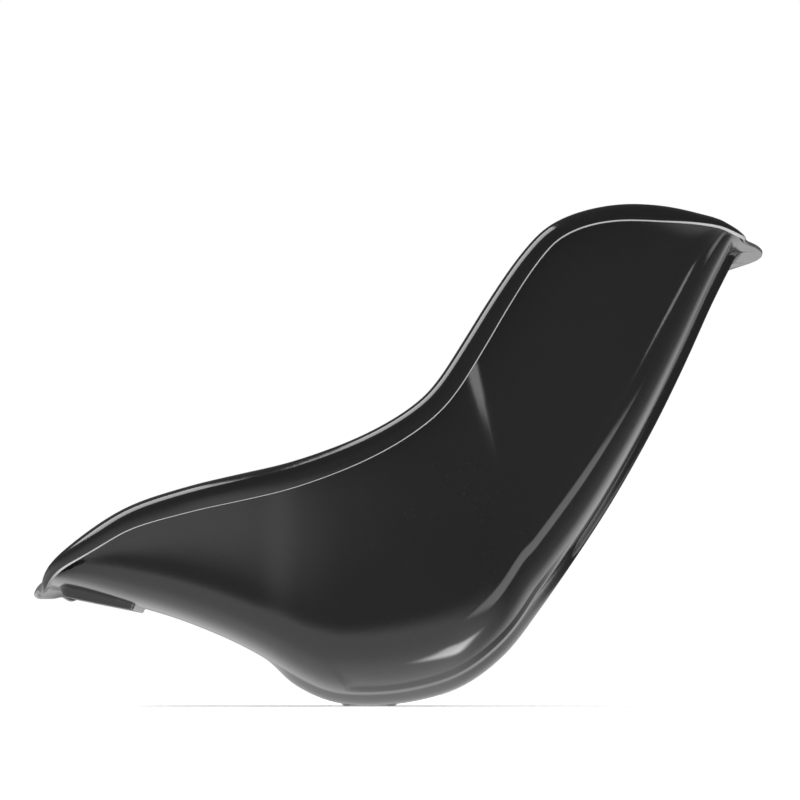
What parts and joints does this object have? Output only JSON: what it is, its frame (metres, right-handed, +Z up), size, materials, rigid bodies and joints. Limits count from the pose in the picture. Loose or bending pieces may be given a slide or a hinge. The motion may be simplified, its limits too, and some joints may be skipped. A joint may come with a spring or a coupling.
{
  "type": "racing seat",
  "caption": "Reclined kart-style racing seat: a one-piece glossy black moulded bucket shell with a rolled rim, raised spine, and riveted nut plates in its mounting pads.",
  "frame": {"origin": "on the flat underside of the rear pad, on the seat's mirror plane, at the lowest level the seat stands on", "axes": "+Z up as the seat is fitted and reclined; the seat faces -Y, so its nose is at -Y and its backrest at +Y; +X is the sitter's left, and the seat is mirrored about X = 0"},
  "size_m": [0.3968, 0.6178, 0.4071],
  "materials": {
    "gloss_black": "high gloss moulded skin",
    "zinc_plate": "zinc plated",
    "zinc_nut": "zinc plated",
    "rivet_alloy": "satin"
  },
  "bodies": {
    "root": {"seat_shell": "gloss_black", "front_nut_plate": "zinc_plate", "front_nut_left": "zinc_nut", "front_nut_right": "zinc_nut", "front_rivet_1": "rivet_alloy", "front_rivet_2": "rivet_alloy", "front_rivet_3": "rivet_alloy", "front_rivet_4": "rivet_alloy", "rear_nut_plate": "zinc_plate", "rear_nut_left": "zinc_nut", "rear_nut_right": "zinc_nut", "rear_rivet_1": "rivet_alloy", "rear_rivet_2": "rivet_alloy", "rear_rivet_3": "rivet_alloy", "rear_rivet_4": "rivet_alloy"}
  },
  "joints": []
}
